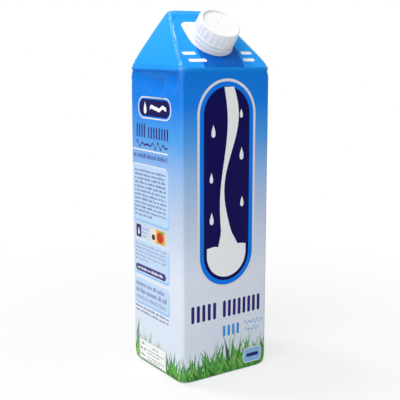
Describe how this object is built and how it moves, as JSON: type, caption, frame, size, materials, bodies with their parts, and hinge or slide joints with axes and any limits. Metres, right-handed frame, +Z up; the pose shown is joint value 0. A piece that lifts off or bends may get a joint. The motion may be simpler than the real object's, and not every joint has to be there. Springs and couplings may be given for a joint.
{
  "type": "milk carton",
  "caption": "Tall paperboard milk carton with a slanted gable roof, short ridge and round screw cap on the front slope.",
  "frame": {"origin": "middle of the base, on the surface that the pack stands on", "axes": "+Z up along the pack's height, front panel and closure facing -Y, +X to the right seen from the front"},
  "size_m": [0.071, 0.0676, 0.2495],
  "materials": {
    "board": "coated board with a soft gloss, printed in blue, white and green",
    "closure": "moulded white polyethylene, satin"
  },
  "bodies": {
    "root": {"carton": "board", "spout": "closure", "tamper_band": "closure", "cap": "closure"}
  },
  "joints": []
}
